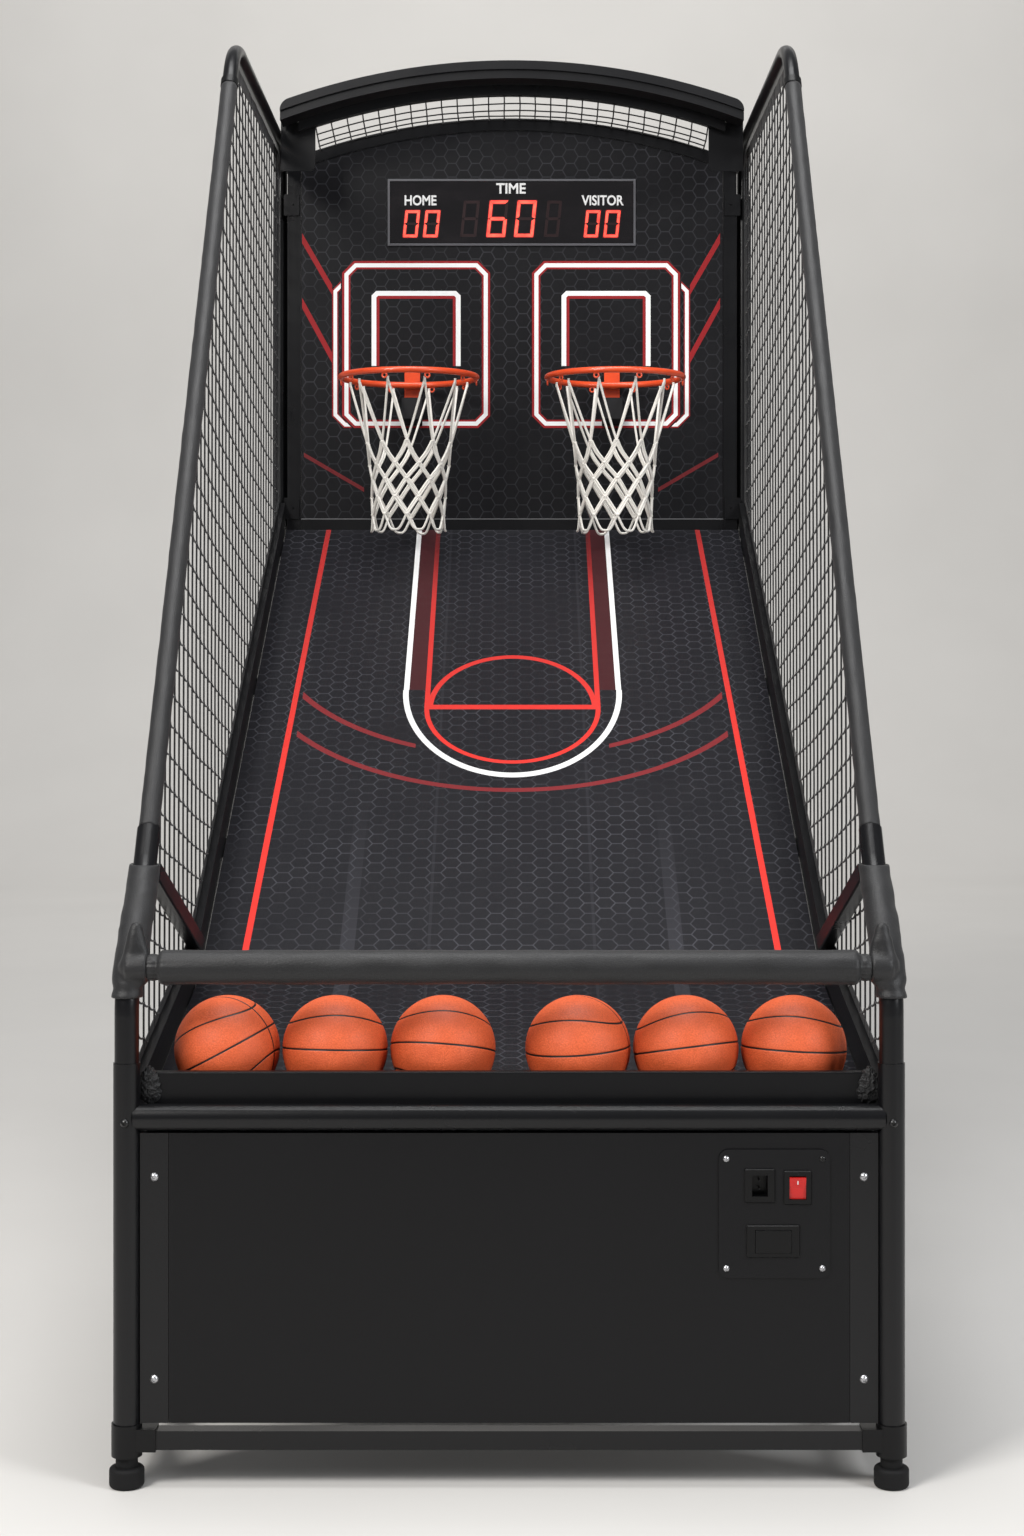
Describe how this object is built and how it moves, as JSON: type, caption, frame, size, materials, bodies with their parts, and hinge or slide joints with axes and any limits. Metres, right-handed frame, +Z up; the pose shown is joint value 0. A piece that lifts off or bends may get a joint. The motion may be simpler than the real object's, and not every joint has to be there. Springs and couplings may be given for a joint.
{
  "type": "basketball hoop machine",
  "caption": "Free-standing arcade basketball machine: tube frame with netted sides, sloping ball ramp, padded front bar, arched backboard with netted hoops and a score display.",
  "frame": {"origin": "on the floor, midway between the front and rear feet and between the sides", "axes": "+Z up, +X to the right of a player who faces the machine, +Y away from that player"},
  "size_m": [1.0668, 2.1468, 2.3619],
  "materials": {
    "frame_paint": "satin black powder coat",
    "fitting_plastic": "moulded black nylon",
    "foot_rubber": "moulded black rubber",
    "board_black": "black melamine faced board",
    "deck_print": "printed matte laminate on board",
    "backboard_print": "printed matte panel",
    "plate_plastic": "fine textured moulding",
    "control_plastic": "smooth black moulding",
    "rocker_red": "translucent red moulding",
    "screw_steel": "zinc plated",
    "sheet_steel": "grey painted sheet",
    "circuit_board": "solder mask",
    "transformer_core": "varnished laminations",
    "loom_cable": "black sheath",
    "display_window": "dark tinted window",
    "display_trim": "grey moulded trim",
    "digit_red": "red numeral blocks",
    "header_plastic": "fine textured moulding",
    "hoop_orange": "gloss orange powder coat",
    "sensor_plastic": "moulded black",
    "hoop_cord": "braided white cord",
    "net_cord": "knotted black cord",
    "pad_fabric": "woven black cover over foam",
    "ball_rubber": "pebbled orange rubber"
  },
  "bodies": {
    "machine": {"front_legs": "frame_paint", "shoulder_tubes": "frame_paint", "slant_tubes": "frame_paint", "top_rails": "frame_paint", "rail_collars": "fitting_plastic", "rear_uprights": "frame_paint", "corner_fittings": "fitting_plastic", "front_top_rail": "frame_paint", "base_rails": "frame_paint", "ramp_rails": "frame_paint", "ramp_cross_bars": "frame_paint", "side_boards": "board_black", "ramp_deck_front": "deck_print", "ramp_deck_rear": "deck_print", "tray_front_board": "board_black", "side_braces": "frame_paint", "front_panel": "board_black", "panel_strips": "frame_paint", "frame_screws": "screw_steel", "control_plate": "plate_plastic", "power_inlet": "control_plastic", "power_switch_frame": "control_plastic", "start_button_frame": "control_plastic", "control_box": "sheet_steel", "control_board": "circuit_board", "transformer": "transformer_core", "wiring_loom": "loom_cable", "loom_clips": "fitting_plastic", "backboard_panel": "backboard_print", "backboard_frame": "frame_paint", "scoreboard_housing": "header_plastic", "scoreboard_bezel": "display_trim", "scoreboard_window": "display_window", "digit_display": "digit_red", "header_arch": "header_plastic", "header_tube": "frame_paint", "corner_brackets": "frame_paint", "top_net": "net_cord", "hoop_left": "hoop_orange", "hoop_right": "hoop_orange", "hoop_net_left": "hoop_cord", "hoop_net_right": "hoop_cord", "score_sensors": "sensor_plastic", "side_nets": "net_cord", "padded_bar_tube": "frame_paint", "bar_padding": "pad_fabric", "corner_pads": "pad_fabric", "net_sleeves": "pad_fabric"},
    "rocker_key": {"power_rocker": "rocker_red"},
    "start_key": {"start_button": "control_plastic"},
    "foot_front_left": {"foot_front_left": "foot_rubber"},
    "foot_front_right": {"foot_front_right": "foot_rubber"},
    "foot_rear_left": {"foot_rear_left": "foot_rubber"},
    "foot_rear_right": {"foot_rear_right": "foot_rubber"},
    "ball_1": {"ball_1": "ball_rubber"},
    "ball_2": {"ball_2": "ball_rubber"},
    "ball_3": {"ball_3": "ball_rubber"},
    "ball_4": {"ball_4": "ball_rubber"},
    "ball_5": {"ball_5": "ball_rubber"},
    "ball_6": {"ball_6": "ball_rubber"}
  },
  "joints": [
    {"name": "power_switch", "type": "hinge", "parent": "machine", "child": "rocker_key", "pos_m": [0.384, -1.0545, 0.4], "axis": [1, 0, 0], "range_deg": [-18, 0]},
    {"name": "start_push", "type": "slide", "parent": "machine", "child": "start_key", "axis": [0, 1, 0], "range_m": [0, 0.003], "stiffness_N_per_m": 300, "springref_m": -0.002},
    {"name": "level_front_left", "type": "hinge", "parent": "machine", "child": "foot_front_left", "pos_m": [-0.51, -1.05, 0], "axis": [0, 0, 1], "continuous": true},
    {"name": "level_front_right", "type": "hinge", "parent": "machine", "child": "foot_front_right", "pos_m": [0.51, -1.05, 0], "axis": [0, 0, 1], "continuous": true},
    {"name": "level_rear_left", "type": "hinge", "parent": "machine", "child": "foot_rear_left", "pos_m": [-0.51, 1.05, 0], "axis": [0, 0, 1], "continuous": true},
    {"name": "level_rear_right", "type": "hinge", "parent": "machine", "child": "foot_rear_right", "pos_m": [0.51, 1.05, 0], "axis": [0, 0, 1], "continuous": true},
    {"name": "lift_ball_1", "type": "slide", "parent": "machine", "child": "ball_1", "axis": [0, 0, 1], "range_m": [0, 0.15]},
    {"name": "lift_ball_2", "type": "slide", "parent": "machine", "child": "ball_2", "axis": [0, 0, 1], "range_m": [0, 0.15]},
    {"name": "lift_ball_3", "type": "slide", "parent": "machine", "child": "ball_3", "axis": [0, 0, 1], "range_m": [0, 0.15]},
    {"name": "lift_ball_4", "type": "slide", "parent": "machine", "child": "ball_4", "axis": [0, 0, 1], "range_m": [0, 0.15]},
    {"name": "lift_ball_5", "type": "slide", "parent": "machine", "child": "ball_5", "axis": [0, 0, 1], "range_m": [0, 0.15]},
    {"name": "lift_ball_6", "type": "slide", "parent": "machine", "child": "ball_6", "axis": [0, 0, 1], "range_m": [0, 0.15]}
  ]
}
